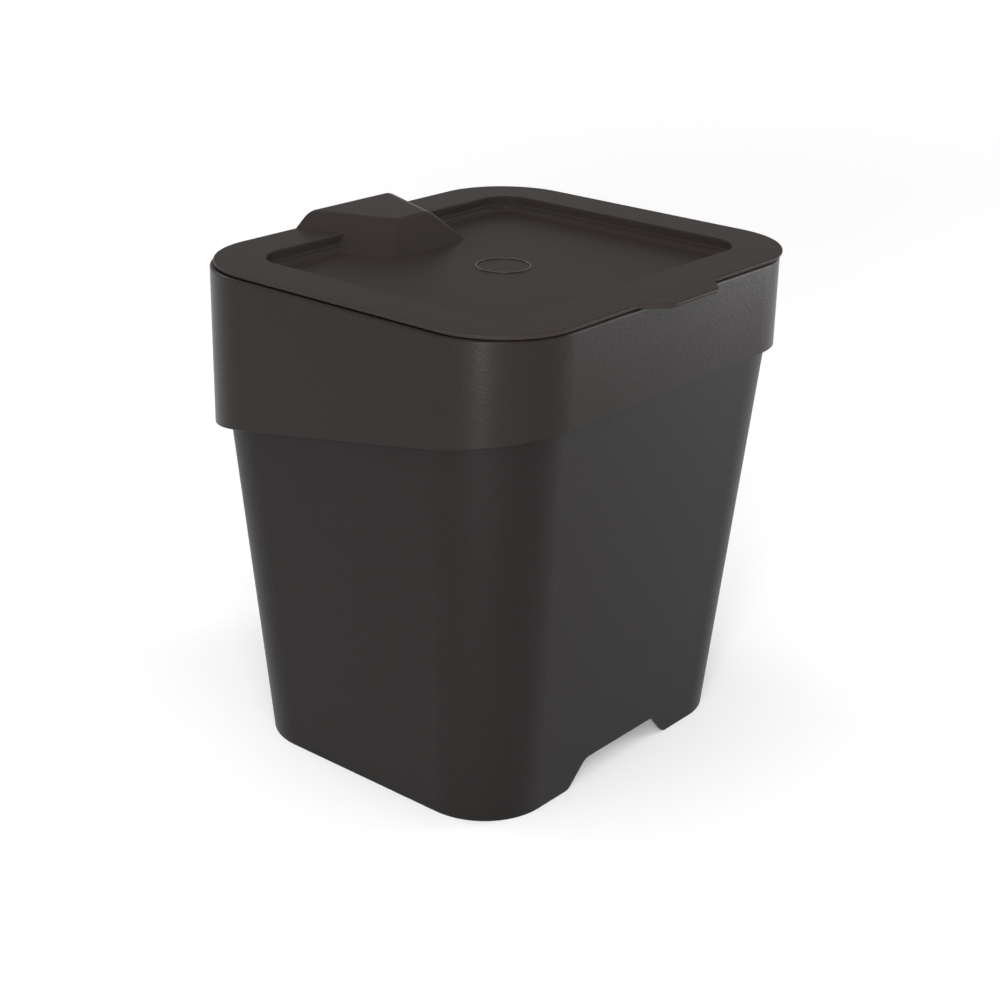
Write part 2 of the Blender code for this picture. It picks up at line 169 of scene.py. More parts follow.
# Moulded polypropylene. The sheens are specular levels, matched to the photograph
POLYPROPYLENE_IOR = 1.49
BUCKET_SHEEN = 0.115
RING_SHEEN = 0.08
LID_SHEEN = 0.025
CIRCLE_SHEEN = 0.3
GRAIN_DEPTH_MM = 0.07
PIT_SHARE = 1.6
PIT_WEIGHT = 0.5
# Share of the tone that follows the grain's height, which paints shade into its pits
PIT_SHADE_SHARE = 0.7
TONE_SHARES = (0.75, 1.25)
PATCH_MM = 34
ROUGHNESS_SPREAD = 0.04

# Studio. To the camera the floor glows more with its distance from the bin, up to plain white
FLOOR_REACH = 60
FLOOR_ROUGHNESS = 0.9
GLOW_START, GLOW_END = 0.25, 2.2
GLOW_NEAR, GLOW_FAR = 0.22, 0.74
ROOM_LIGHT = 0.40
MIRRORED_WHITE_HEIGHT = 0.03

# Camera, from a fit to the bin's outline in the photograph
CAMERA_PLACE = (-0.51324, -0.42297, 0.35941)
CAMERA_AZIMUTH = math.radians(50.3723)
CAMERA_FALL = math.radians(22.1009)
CAMERA_ROLL = math.radians(1.2091)
CAMERA_LENS = 68.81
CAMERA_SENSOR = 36

Outline = namedtuple("Outline", "half_x half_y radius centre_y")
Lamp = namedtuple("Lamp", "name place target width height watts")

LAMPS = (
    Lamp("lamp_over", (-0.5, -0.15, 1.4), (0, 0, 0.1), 1.3, 1.3, 7.8),
    Lamp("lamp_fill", (-0.996, -0.836, 0.9), (0, 0, 0.12), 0.6, 0.6, 9),
    Lamp("lamp_low_right", (0.778, -0.545, 0.12), (0, 0, 0.12), 0.35, 0.22, 3.8),
    Lamp("lamp_corner", (-0.980, -0.499, 0.12), (0, 0, 0.12), 0.13, 0.22, 8),
    Lamp("lamp_back", (-0.2, 1.25, 0.8), (0, 0, 0.1), 0.6, 0.5, 5),
    Lamp("lamp_high_right", (0.983, -0.688, 0.75), (0, 0, 0.15), 0.35, 0.35, 2.85),
)


def srgb(code):
    """A colour written as six hex digits, as linear values with full alpha."""
    channels = [int(code[start:start + 2], 16) / 255 for start in (0, 2, 4)]
    linear = [c / 12.92 if c <= 0.04045 else ((c + 0.055) / 1.055) ** 2.4 for c in channels]
    return (*linear, 1)


def length(name, description, default):
    return bpy.props.FloatProperty(
        name=name, description=description, default=default, min=0, precision=4,
        unit="LENGTH", subtype="DISTANCE",
    )


def colour(name, description, code):
    return bpy.props.FloatVectorProperty(
        name=name, description=description, default=srgb(code), size=4, min=0, max=1,
        subtype="COLOR",
    )


def factor(name, description, default):
    return bpy.props.FloatProperty(
        name=name, description=description, default=default, min=0, max=1, subtype="FACTOR"
    )


class SinkBinSizes(bpy.types.PropertyGroup):
    ring_width: length("Ring width", "Width of the bag ring, side to side", RING_HIGH.x - RING_LOW.x)
    ring_depth: length("Ring depth", "Depth of the bag ring, front to back", RING_HIGH.y - RING_LOW.y)
    ring_corner: length("Ring corner", "Radius of the bag ring's upright corners", 0.0325)
    skirt_front: length("Skirt at the front", "Height of the ring's skirt at the front", 0.0331)
    skirt_back: length("Skirt at the back", "Height of the ring's skirt at the back", 0.0603)
    rim_height: length("Rim height", "Height of the bucket's rim above the worktop", BUCKET_HIGH.z)
    taper: length("Taper", "How far each wall draws in from the shoulder to the foot", 0.0119)
    foot_corner: length("Foot corner", "Radius of the bucket's corners at the foot", 0.0260)
    notch_height: length("Notch height", "Height of the notches in the foot", 0.0097)
    notch_width: length("Notch width", "Width of the notches at their top", 0.0415)
    border_width: length("Border width", "Width of the lid's flat border", 0.0185)
    recess_depth: length("Recess depth", "Depth of the lid's sunk floor", 0.0057)
    tab_reach: length("Tab reach", "How far the thumb tab stands out from the lid", 0.0077)
    tab_width: length("Tab width", "Width of the thumb tab at its tip", 0.0265)
    hump_rise: length("Hinge cover rise", "Height of the hinge cover above the border", 0.0052)
    circle_width: length("Circle width", "Width of the raised circle on the lid", 0.0205)


class SinkBinFinish(bpy.types.PropertyGroup):
    bucket: colour("Bucket", "Colour of the bucket's plastic", "1b1918")
    bag_ring: colour("Bag ring", "Colour of the bag ring's plastic", "242120")
    lid: colour("Lid", "Colour of the lid's plastic", "322d2b")
    hinge_pin: colour("Hinge pin", "Colour of the hinge pin's plastic", "222020")
    floor: colour("Floor", "Colour of the studio floor", "e6e6e6")
    bucket_roughness: factor("Bucket roughness", "Roughness of the bucket's plastic", 0.42)
    roughness: factor("Roughness", "Roughness of the ring's and lid's plastic", 0.30)
    circle_roughness: factor("Circle roughness", "Roughness of the polished circle on the lid", 0.20)
    grain: bpy.props.FloatProperty(
        name="Grain (mm)", description="Size of the moulded surface grain, in millimetres", default=0.8,
        min=0.05, max=5,
    )


# Outlines and heights of the bin, worked out from the sizes

def shrink(outline, distance):
    """The outline moved inwards, with its corner rounds."""
    return Outline(
        outline.half_x - distance,
        outline.half_y - distance,
        max(outline.radius - distance, OVERRUN),
        outline.centre_y,
    )


def ring_outline(sizes):
    return Outline(sizes.ring_width / 2, sizes.ring_depth / 2, sizes.ring_corner, 0)


def lid_outline(sizes):
    back_y = sizes.ring_depth / 2 - LID_BACK_REVEAL
    front_y = -sizes.ring_depth / 2 - LID_FRONT_OVERHANG
    half_x = sizes.ring_width / 2 - LID_SIDE_REVEAL
    return Outline(half_x, (back_y - front_y) / 2, LID_CORNER, (back_y + front_y) / 2)


def ring_seat(sizes):
    return sizes.rim_height + SEAT_GAP


def ring_top(sizes):
    return ring_seat(sizes) + FLANGE_THICKNESS


def lid_bottom(sizes):
    return ring_top(sizes) + SEAT_GAP


def lid_top(sizes):
    return lid_bottom(sizes) + LID_WALL


def shoulder_height(sizes):
    return ring_top(sizes) - sizes.skirt_front + SHOULDER_COVER


def bucket_outline(sizes, height):
    """The bucket's outer outline: upright above the shoulder, drawn in towards the foot below."""
    top = shrink(ring_outline(sizes), SKIRT_WALL + BAG_GAP)
    drawn_in = max(0, 1 - height / shoulder_height(sizes))
    return Outline(
        top.half_x - sizes.taper * drawn_in,
        top.half_y - sizes.taper * drawn_in,
        top.radius + (sizes.foot_corner - top.radius) * drawn_in,
        0,
    )


# Mesh tools

def verts_of(items):
    return [item for item in items if isinstance(item, bmesh.types.BMVert)]


def bevel(bm, edges, width, steps):
    bmesh.ops.bevel(
        bm, geom=edges, offset=width, offset_type="OFFSET", segments=steps, profile=0.5,
        affect="EDGES", material=-1,
    )


def rounded_rectangle(bm, outline, height):
    """Add a flat rounded rectangle at a height, from a one-cell grid with bevelled corners."""
    corners = bmesh.ops.create_grid(bm, x_segments=1, y_segments=1, size=1)["verts"]
    bmesh.ops.scale(bm, vec=(outline.half_x, outline.half_y, 1), verts=corners)
    bmesh.ops.translate(bm, vec=(0, outline.centre_y, height), verts=corners)
    bmesh.ops.bevel(
        bm, geom=corners, offset=outline.radius, offset_type="OFFSET", segments=CORNER_STEPS,
        profile=0.5, affect="VERTICES", material=-1,
    )
    straight = [edge for edge in bm.edges if edge.calc_length() > outline.radius / 2]
    bmesh.ops.subdivide_edges(bm, edges=straight, cuts=STRAIGHT_CUTS)


def reshape(verts, before, after, height):
    """Move the vertices of one rounded rectangle to their places on another, at a height."""
    for vert in verts:
        place = []
        for value, half_before, half_after in (
            (vert.co.x, before.half_x, after.half_x),
            (vert.co.y - before.centre_y, before.half_y, after.half_y),
        ):
            straight = half_before - before.radius
            along = min(abs(value), straight) / straight * (half_after - after.radius)
            beyond = max(0, abs(value) - straight) / before.radius * after.radius
            place.append(math.copysign(along + beyond, value))
        vert.co = (place[0], after.centre_y + place[1], height)


def moulding(profile, outline_at, closed=False):
    """Carry a profile of (inset, height, round) round an outline, and round its corners.

    An open profile is capped flat at both ends. A closed one makes a ring, and starts at a
    corner that stays sharp.
    """
    bm = bmesh.new()
    inset, height, _ = profile[0]
    outline = shrink(outline_at(height), inset)
    rounded_rectangle(bm, outline, height)
    if closed:
        bmesh.ops.delete(bm, geom=list(bm.faces), context="FACES_ONLY")
    edges = list(bm.edges)
    rounds = []
    for inset, height, radius in profile[1:] + (profile[:1] if closed else []):
        pushed = set(verts_of(bmesh.ops.extrude_edge_only(bm, edges=edges)["geom"]))
        edges = [edge for edge in bm.edges if pushed.issuperset(edge.verts)]
        after = shrink(outline_at(height), inset)
        reshape(pushed, outline, after, height)
        outline = after
        if radius:
            rounds.append((edges, radius))
    if closed:
        bmesh.ops.remove_doubles(bm, verts=bm.verts, dist=MERGE_DISTANCE)
    else:
        bmesh.ops.edgeloop_fill(bm, edges=edges)
    for edges, radius in rounds:
        bevel(bm, edges, radius, ROUND_STEPS)
    bmesh.ops.recalc_face_normals(bm, faces=bm.faces)
    return bm


def add_box(bm, low, high):
    """Add a box between two corners."""
    low, high = Vector(low), Vector(high)
    size = Matrix.Diagonal((*(high - low), 1))
    bmesh.ops.create_cube(bm, size=1, matrix=Matrix.Translation((low + high) / 2) @ size)


def box_piece(name, corners):
    """An object of one box for each pair of corners."""
    bm = bmesh.new()
    for low, high in corners:
        add_box(bm, low, high)
    return to_object(name, bm)


def push(bm, faces, move):
    """Extrude a flat face along a move into a closed prism."""
    pushed = bmesh.ops.extrude_face_region(bm, geom=faces)["geom"]
    bmesh.ops.translate(bm, vec=move, verts=verts_of(pushed))
    bmesh.ops.recalc_face_normals(bm, faces=bm.faces)


def rod(name, radius, span):
    """A round bar along X, centred on the hinge axis."""
    bm = bmesh.new()
    bmesh.ops.create_cone(
        bm, cap_ends=True, segments=EYE_STEPS, radius1=radius, radius2=radius, depth=span,
        matrix=Matrix.Translation(HINGE - BIN_PLACE) @ Matrix.Rotation(math.pi / 2, 4, "Y"),
    )
    return to_object(name, bm)


def to_object(name, bm):
    """Turn a bmesh into an object in the scene, and free it."""
    mesh = bpy.data.meshes.new(name)
    bm.to_mesh(mesh)
    bm.free()
    obj = bpy.data.objects.new(name, mesh)
    bpy.context.scene.collection.objects.link(obj)
    return obj


def combine(target, *steps):
    """Join tools to a piece or cut them from it, in order, and keep the welded result as its mesh."""
    for operation, tool in steps:
        modifier = target.modifiers.new(tool.name, "BOOLEAN")
        modifier.operation = operation
        modifier.object = tool
        modifier.solver = "EXACT"
    evaluated = target.evaluated_get(bpy.context.evaluated_depsgraph_get())
    mesh = bpy.data.meshes.new_from_object(evaluated)
    bm = bmesh.new()
    bm.from_mesh(mesh)
    bmesh.ops.remove_doubles(bm, verts=bm.verts, dist=MERGE_DISTANCE)
    bmesh.ops.dissolve_degenerate(bm, dist=MERGE_DISTANCE, edges=bm.edges)
    bm.to_mesh(mesh)
    bm.free()
    target.modifiers.clear()
    target.data = mesh
    for operation, tool in steps:
        bpy.data.objects.remove(tool)


def finish_piece(obj, body, material, nodes=()):
    """Move a piece to its place in the bin, smooth it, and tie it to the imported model."""
    obj.data.transform(Matrix.Translation(BIN_PLACE))
    obj.data.shade_smooth()
    obj.data.set_sharp_from_angle(angle=SHARP_ANGLE)
    weighted = obj.modifiers.new("flat_faces_stay_flat", "WEIGHTED_NORMAL")
    weighted.keep_sharp = True
    obj.data.materials.clear()
    obj.data.materials.append(material)
    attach(obj, body)
    if nodes:
        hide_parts(*nodes)


# Materials

def add_node(owner, kind, settings=None, sockets=None, links=None):
    """Add a shader node, set its options and sockets, and feed its sockets from outputs."""
    node = owner.node_tree.nodes.new(kind)
    for name, value in (settings or {}).items():
        setattr(node, name, value)
    for name, value in (sockets or {}).items():
        node.inputs[name].default_value = value
    for name, output in (links or {}).items():
        owner.node_tree.links.new(output, node.inputs[name])
    return node


def per_metre(size_mm):
    """Texture scale that gives a pattern of about this size in millimetres."""
    return 1 / (size_mm * MM)


def moulded_polypropylene(name, base, grain_size, roughness_level, sheen_level):
    """Matte charcoal polypropylene from a spark-eroded mould.

    A fine grain breaks up the highlights, and the tone follows its height, so its pits are
    painted darker than its tops: painted shade. The real grain, about 0.15 mm, is too fine to
    show, so it is drawn a few times coarser. Broad soft patches shift the roughness and the
    tone a little, as handled and unevenly cooled plastic does.
    """
    material = bpy.data.materials.new(name)
    material.use_nodes = True
    shader = material.node_tree.nodes["Principled BSDF"]
    shader.inputs["Metallic"].default_value = 0
    shader.inputs["IOR"].default_value = POLYPROPYLENE_IOR
    shader.inputs["Specular IOR Level"].default_value = sheen_level

    place = add_node(material, "ShaderNodeTexCoord").outputs["Object"]
    grain = add_node(
        material, "ShaderNodeTexNoise", {"noise_dimensions": "3D"},
        {"Scale": per_metre(grain_size), "Detail": 3, "Roughness": 0.6}, {"Vector": place},
    )
    pits = add_node(
        material, "ShaderNodeTexVoronoi", {"feature": "SMOOTH_F1"},
        {"Scale": per_metre(grain_size * PIT_SHARE), "Smoothness": 0.6}, {"Vector": place},
    )
    relief = add_node(
        material, "ShaderNodeMath", {"operation": "MULTIPLY_ADD"}, {1: PIT_WEIGHT},
        {0: pits.outputs["Distance"], 2: grain.outputs["Fac"]},
    )
    bump = add_node(
        material, "ShaderNodeBump", None, {"Strength": 0.6, "Distance": GRAIN_DEPTH_MM * MM},
        {"Height": relief.outputs["Value"]},
    )
    patches = add_node(
        material, "ShaderNodeTexNoise", {"noise_dimensions": "3D"},
        {"Scale": per_metre(PATCH_MM), "Detail": 2, "Roughness": 0.5}, {"Vector": place},
    )
    roughness = add_node(
        material, "ShaderNodeMapRange", None,
        {"To Min": roughness_level - ROUGHNESS_SPREAD, "To Max": roughness_level + ROUGHNESS_SPREAD},
        {"Value": patches.outputs["Fac"]},
    )
    # Painted shade: the tone follows the grain's height, so its pits come out darker; the patches add a
    # random tone
    patch_tone_and_pit_shade = add_node(
        material, "ShaderNodeMix", {"data_type": "FLOAT"}, {"Factor": PIT_SHADE_SHARE},
        {"A": patches.outputs["Fac"], "B": grain.outputs["Fac"]},
    )
    darker, lighter = ([channel * share for channel in base[:3]] + [1] for share in TONE_SHARES)
    tone = add_node(
        material, "ShaderNodeMix", {"data_type": "RGBA", "blend_type": "MIX"},
        {"A": darker, "B": lighter}, {"Factor": patch_tone_and_pit_shade.outputs["Result"]},
    )
    links = material.node_tree.links
    links.new(tone.outputs["Result"], shader.inputs["Base Color"])
    links.new(roughness.outputs["Result"], shader.inputs["Roughness"])
    links.new(bump.outputs["Normal"], shader.inputs["Normal"])
    return material


def sees_straight(owner):
    """1 for camera, mirror and see-through rays, 0 for the light that reaches surfaces."""
    path = add_node(owner, "ShaderNodeLightPath").outputs
    value = path["Is Camera Ray"]
    for other in ("Is Glossy Ray", "Is Transmission Ray"):
        value = add_node(
            owner, "ShaderNodeMath", {"operation": "MAXIMUM"}, None, {0: value, 1: path[other]}
        ).outputs["Value"]
    return value


# Pieces

def notch_rise(x, sizes):
    """Height of the notch's outline at x: flat top, slanted ends, and rounds at both ends."""
    top, foot = sizes.notch_width / 2, sizes.notch_width / 2 + NOTCH_DRAFT
    slant = math.atan2(sizes.notch_height, NOTCH_DRAFT)
    x = abs(x)
    top_centre = top - NOTCH_TOP_ROUND * math.tan(slant / 2)
    foot_centre = foot + NOTCH_FOOT_ROUND * math.tan(slant / 2)
    if x <= top_centre:
        return sizes.notch_height
    if x >= foot_centre:
        return 0
    if x < top_centre + NOTCH_TOP_ROUND * math.sin(slant):
        fall = NOTCH_TOP_ROUND - math.sqrt(NOTCH_TOP_ROUND ** 2 - (x - top_centre) ** 2)
        return sizes.notch_height - fall
    if x > foot_centre - NOTCH_FOOT_ROUND * math.sin(slant):
        return NOTCH_FOOT_ROUND - math.sqrt(NOTCH_FOOT_ROUND ** 2 - (foot_centre - x) ** 2)
    return sizes.notch_height * (foot - x) / NOTCH_DRAFT


class SINKBIN_OT_bucket(bpy.types.Operator):
    """Build the tapered bucket with its foot notches and raised floor"""
    bl_idname = "sinkbin.bucket"
    bl_label = "Bucket"

    def execute(self, context):
        sizes, finish = context.scene.sink_bin_sizes, context.scene.sink_bin_finish
        floor_z = FLOOR_CLEARANCE + FLOOR_THICKNESS
        shoulder = shoulder_height(sizes)
        bm = moulding([
            (BUCKET_WALL, FLOOR_CLEARANCE, 0),
            (BUCKET_WALL, 0, FOOT_ROUND),
            (0, 0, FOOT_ROUND),
            (0, shoulder, 0),
            (0, sizes.rim_height, RIM_ROUND),
            (BUCKET_WALL, sizes.rim_height, RIM_ROUND),
            (BUCKET_WALL, shoulder, 0),
            (BUCKET_WALL, floor_z, FLOOR_FILLET),
            (BUCKET_WALL + FLOOR_FILLET * 2, floor_z, 0),
        ], lambda height: bucket_outline(sizes, height))
        slope = sizes.taper / shoulder
        front = bucket_outline(sizes, 0).half_y - BUCKET_WALL - OVERRUN
        for vert in bm.verts:
            if vert.co.z < FOOT_ROUND + OVERRUN and abs(vert.co.y) > front:
                rise = notch_rise(vert.co.x, sizes)
                vert.co.z += rise
                vert.co.y += math.copysign(rise * slope, vert.co.y)
        material = moulded_polypropylene(
            "bucket_polypropylene", finish.bucket, finish.grain, finish.bucket_roughness,
            BUCKET_SHEEN,
        )
        finish_piece(to_object("bucket_body", bm), "bucket", material, ["bucket"])
        return {"FINISHED"}


def eye_pair(name, inner_x, thickness, back, far_z):
    """Two plates about the hinge axis, round on one side and running on to far_z.

    Each is a disc joined to an upright bar: the bar's front is tangent to the disc, and both
    end at y = back.
    """
    axis = HINGE - BIN_PLACE
    bm = bmesh.new()
    for start in (-inner_x - thickness, inner_x):
        half = bmesh.new()
        verts = bmesh.ops.create_circle(
            half, cap_ends=True, segments=EYE_STEPS, radius=EYE_RADIUS,
            matrix=Matrix.Rotation(math.pi / 2, 4, "Y"),
        )["verts"]
        side = math.copysign(1, far_z)
        for vert in verts:
            if vert.co.z * side > 0:
                vert.co.z = far_z
                if abs(vert.co.y) > EYE_RADIUS / 4:
                    vert.co.y = math.copysign(EYE_RADIUS, vert.co.y)
        bmesh.ops.translate(half, vec=axis + Vector((start, 0, 0)), verts=verts)
        push(half, list(half.faces), (thickness, 0, 0))
        mesh = bpy.data.meshes.new(name)
        half.to_mesh(mesh)
        half.free()
        bm.from_mesh(mesh)
        bpy.data.meshes.remove(mesh)
    bmesh.ops.bisect_plane(
        bm, geom=list(bm.verts) + list(bm.edges) + list(bm.faces),
        plane_co=axis + Vector((0, back, 0)), plane_no=(0, 1, 0), clear_outer=True,
    )
    bmesh.ops.holes_fill(bm, edges=[edge for edge in bm.edges if edge.is_boundary])
    bmesh.ops.remove_doubles(bm, verts=bm.verts, dist=MERGE_DISTANCE)
    bmesh.ops.recalc_face_normals(bm, faces=bm.faces)
    return to_object(name, bm)


def ring_fins(sizes):
    """Corners of the upright fins inside the skirt that centre it on the bucket's rim."""
    outline = ring_outline(sizes)
    top = ring_seat(sizes) + FLANGE_THICKNESS / 2
    foot = ring_seat(sizes) - FIN_LENGTH
    reach = SKIRT_WALL + BAG_GAP - SIDE_GAP
    root = SKIRT_WALL / 2
    half = FIN_WIDTH / 2
    fins = []
    for side in (-1, 1):
        across = sorted((side * (outline.half_x - root), side * (outline.half_x - reach)))
        along = sorted((side * (outline.half_y - root), side * (outline.half_y - reach)))
        for step in (-1, 1):
            x, y = step * outline.half_x / 2, step * outline.half_y / 2
            fins.append(((across[0], y - half, foot), (across[1], y + half, top)))
            fins.append(((x - half, along[0], foot), (x + half, along[1], top)))
    return fins


class SINKBIN_OT_bag_ring(bpy.types.Operator):
    """Build the lift-off ring with its slanted skirt, lip, fins and hinge lugs"""
    bl_idname = "sinkbin.bag_ring"
    bl_label = "Bag ring"

    def execute(self, context):
        sizes, finish = context.scene.sink_bin_sizes, context.scene.sink_bin_finish
        outline, seat, top = ring_outline(sizes), ring_seat(sizes), ring_top(sizes)
        lip = SKIRT_WALL + BAG_GAP + BUCKET_WALL + LIP_GAP
        mouth = lip + LIP_THICKNESS
        foot = top - sizes.skirt_front
        bm = moulding([
            (SKIRT_WALL, seat, 0),
            (SKIRT_WALL, foot, SKIRT_FOOT_ROUND),
            (0, foot, SKIRT_FOOT_ROUND),
            (0, top, SKIRT_TOP_ROUND),
            (mouth, top, RIM_ROUND),
            (mouth, seat - LIP_DEPTH, RIM_ROUND),
            (lip, seat - LIP_DEPTH, RIM_ROUND),
            (lip, seat, 0),
        ], lambda height: outline, closed=True)
        slant = (sizes.skirt_back - sizes.skirt_front) / sizes.ring_depth
        for vert in bm.verts:
            if vert.co.z < foot + SKIRT_FOOT_ROUND + OVERRUN:
                vert.co.z -= slant * (vert.co.y + outline.half_y)
        ring = to_object("bag_ring_body", bm)

        axis = HINGE - BIN_PLACE
        pocket_x = CLIP_OUTER_X + POCKET_END_GAP
        pocket_depth = EYE_RADIUS + EYE_GAP
        pocket = box_piece("ring_pocket", [(
            (-pocket_x, axis.y - pocket_depth, axis.z - pocket_depth),
            (pocket_x, outline.half_y + OVERRUN, top + OVERRUN),
        )])
        lug_root = seat + FLANGE_THICKNESS / 4 - axis.z
        lugs = eye_pair("ring_lugs", LUG_INNER_X, LUG_THICKNESS, LUG_BACK, lug_root)
        combine(
            ring,
            ("UNION", box_piece("ring_fins", ring_fins(sizes))),
            ("DIFFERENCE", pocket),
            ("UNION", lugs),
            ("DIFFERENCE", rod("lug_bore", PIN_RADIUS + SIDE_GAP, 2 * CLIP_OUTER_X)),
        )
        material = moulded_polypropylene(
            "bag_ring_polypropylene", finish.bag_ring, finish.grain, finish.roughness, RING_SHEEN
        )
        finish_piece(ring, "bag_ring", material, ["bag_ring"])
        return {"FINISHED"}


class SINKBIN_OT_hinge_pin(bpy.types.Operator):
    """Build the hinge pin with its rounded ends"""
    bl_idname = "sinkbin.hinge_pin"
    bl_label = "Hinge pin"

    def execute(self, context):
        finish = context.scene.sink_bin_finish
        pin = rod("hinge_pin_body", PIN_RADIUS, PIN_HIGH.x - PIN_LOW.x)
        bm = bmesh.new()
        bm.from_mesh(pin.data)
        rims = [edge for edge in bm.edges if edge.calc_face_angle(0) > SHARP_ANGLE]
        bevel(bm, rims, PIN_END_ROUND, ROUND_STEPS)
        bm.to_mesh(pin.data)
        bm.free()
        material = moulded_polypropylene(
            "hinge_pin_polypropylene", finish.hinge_pin, finish.grain, finish.roughness, RING_SHEEN
        )
        finish_piece(pin, "bag_ring", material, ["hinge_pin"])
        return {"FINISHED"}


def lid_plate(sizes):
    """The lid's plate: edge, flat border, two steps down and the sunk floor."""
    outline, top, bottom = lid_outline(sizes), lid_top(sizes), lid_bottom(sizes)
    floor_z = top - sizes.recess_depth
    wall_foot = sizes.border_width + STEP_DRAFT
    floor_edge = wall_foot + LEDGE_WIDTH
    under = top - STEP_DEPTH - LID_WALL
    bm = moulding([
        (floor_edge + RECESS_DRAFT + RECESS_FILLET * 2, floor_z, 0),
        (floor_edge + RECESS_DRAFT, floor_z, RECESS_FILLET),
        (floor_edge, top - STEP_DEPTH, LEDGE_ROUND),
        (wall_foot, top - STEP_DEPTH, LEDGE_ROUND),
        (sizes.border_width, top, BORDER_ROUND),
        (0, top, LID_TOP_ROUND),
        (0, bottom, LID_FOOT_ROUND),
        (sizes.border_width - LID_WALL, bottom, 0),
        (wall_foot - LID_WALL, under, 0),
        (floor_edge - LID_WALL, under, 0),
        (floor_edge + RECESS_DRAFT - LID_WALL, floor_z - LID_WALL, RECESS_FILLET),
        (floor_edge + RECESS_DRAFT + RECESS_FILLET * 2, floor_z - LID_WALL, 0),
    ], lambda height: outline)
    return to_object("lid_body", bm)


def lid_tab(sizes):
    """The thumb tab: a flat tongue that narrows forwards from the middle of the front edge."""
    outline = lid_outline(sizes)
    front_y = outline.centre_y - outline.half_y
    tip, root = sizes.tab_width / 2, sizes.tab_width / 2 + TAB_NARROWING
    bm = bmesh.new()
    verts = bmesh.ops.create_grid(bm, x_segments=1, y_segments=2, size=1)["verts"]
    for vert in verts:
        row = round(vert.co.y)
        y = {-1: front_y - sizes.tab_reach, 0: front_y, 1: front_y + TAB_ROOT_OVERLAP}[row]
        half = tip if row < 0 else root
        vert.co = (math.copysign(half, vert.co.x), y, lid_bottom(sizes) + TAB_SINK)
    bmesh.ops.bevel(
        bm, geom=[vert for vert in verts if vert.co.y < front_y - OVERRUN], offset=TAB_CORNER,
        offset_type="OFFSET", segments=CORNER_STEPS // 3, profile=0.5, affect="VERTICES",
        material=-1,
    )
    push(bm, list(bm.faces), (0, 0, LID_WALL - 2 * TAB_SINK))
    rim = [
        edge for edge in bm.edges
        if edge.calc_face_angle(0) > SHARP_ANGLE
        and abs(edge.verts[0].co.z - edge.verts[1].co.z) < OVERRUN
        and max(vert.co.y for vert in edge.verts) < front_y + TAB_ROOT_OVERLAP - OVERRUN
    ]
    bevel(bm, rim, TAB_EDGE_ROUND, ROUND_STEPS - 1)
    bmesh.ops.recalc_face_normals(bm, faces=bm.faces)
    return to_object("lid_tab", bm)


def hump_block(name, sizes, wall, bottom_z, back_y, edge_round):
    """The hinge cover's solid, or its hollow when drawn one wall further in.

    Its sides and front are flat. They splay out as they go down, and the sides narrow forwards.
    """
    lid_back_y = sizes.ring_depth / 2 - LID_BACK_REVEAL
    hump_top = lid_top(sizes) + sizes.hump_rise
    narrowing = (HUMP_TOP_BACK_WIDTH - HUMP_TOP_FRONT_WIDTH) / 2 / HUMP_TOP_LENGTH
    splay = (HUMP_FOOT_BACK_WIDTH - HUMP_TOP_BACK_WIDTH) / 2 / sizes.hump_rise
    front_slope = (HUMP_FOOT_LENGTH - HUMP_TOP_LENGTH) / (sizes.hump_rise + sizes.recess_depth)
    bm = bmesh.new()
    verts = bmesh.ops.create_cube(bm, size=2)["verts"]
    rounded = [
        edge for edge in bm.edges
        if all(vert.co.y < 0 for vert in edge.verts) and any(vert.co.z > 0 for vert in edge.verts)
        or all(vert.co.z > 0 for vert in edge.verts) and any(vert.co.y < 0 for vert in edge.verts)
    ]
    for vert in verts:
        z = hump_top - wall if vert.co.z > 0 else bottom_z
        down = hump_top - z
        front_y = lid_back_y - HUMP_TOP_LENGTH - front_slope * down
        y = back_y if vert.co.y > 0 else front_y + wall * math.hypot(1, front_slope)
        flank = HUMP_TOP_BACK_WIDTH / 2 - narrowing * (lid_back_y - y) + splay * down
        half = flank - wall * math.hypot(1, narrowing, splay)
        vert.co = (math.copysign(half, vert.co.x), y, z)
    bevel(bm, rounded, edge_round, HUMP_STEPS)
    bmesh.ops.recalc_face_normals(bm, faces=bm.faces)
    return to_object(name, bm)


def lid_hump(sizes):
    """The hinge cover, cut away below the middle of the lid's border so that it stands on it."""
    outline, top = lid_outline(sizes), lid_top(sizes)
    floor_z = top - sizes.recess_depth
    hump = hump_block(
        "lid_hump", sizes, 0, floor_z - LID_WALL / 2,
        outline.centre_y + outline.half_y - HUMP_BACK_STEP, HUMP_ROUND,
    )
    inner = sizes.border_width - LID_WALL / 2
    trim = moulding([
        (-OVERRUN, floor_z - LID_WALL, 0),
        (-OVERRUN, top - LID_WALL / 2, 0),
        (inner, top - LID_WALL / 2, 0),
        (inner, floor_z - LID_WALL, 0),
    ], lambda height: outline, closed=True)
    combine(hump, ("DIFFERENCE", to_object("hump_trim", trim)))
    return hump


def locating_rib(sizes):
    """The low rib under the border that centres the lid in the ring's mouth."""
    outer = SKIRT_WALL + BAG_GAP + BUCKET_WALL + LIP_GAP + LIP_THICKNESS + RIB_GAP
    foot, root = lid_bottom(sizes) - RIB_DEPTH, lid_bottom(sizes) + LID_WALL / 2
    bm = moulding([
        (outer, root, 0), (outer, foot, RIM_ROUND / 2),
        (outer + RIB_THICKNESS, foot, RIM_ROUND / 2), (outer + RIB_THICKNESS, root, 0),
    ], lambda height: ring_outline(sizes), closed=True)
    return to_object("locating_rib", bm)


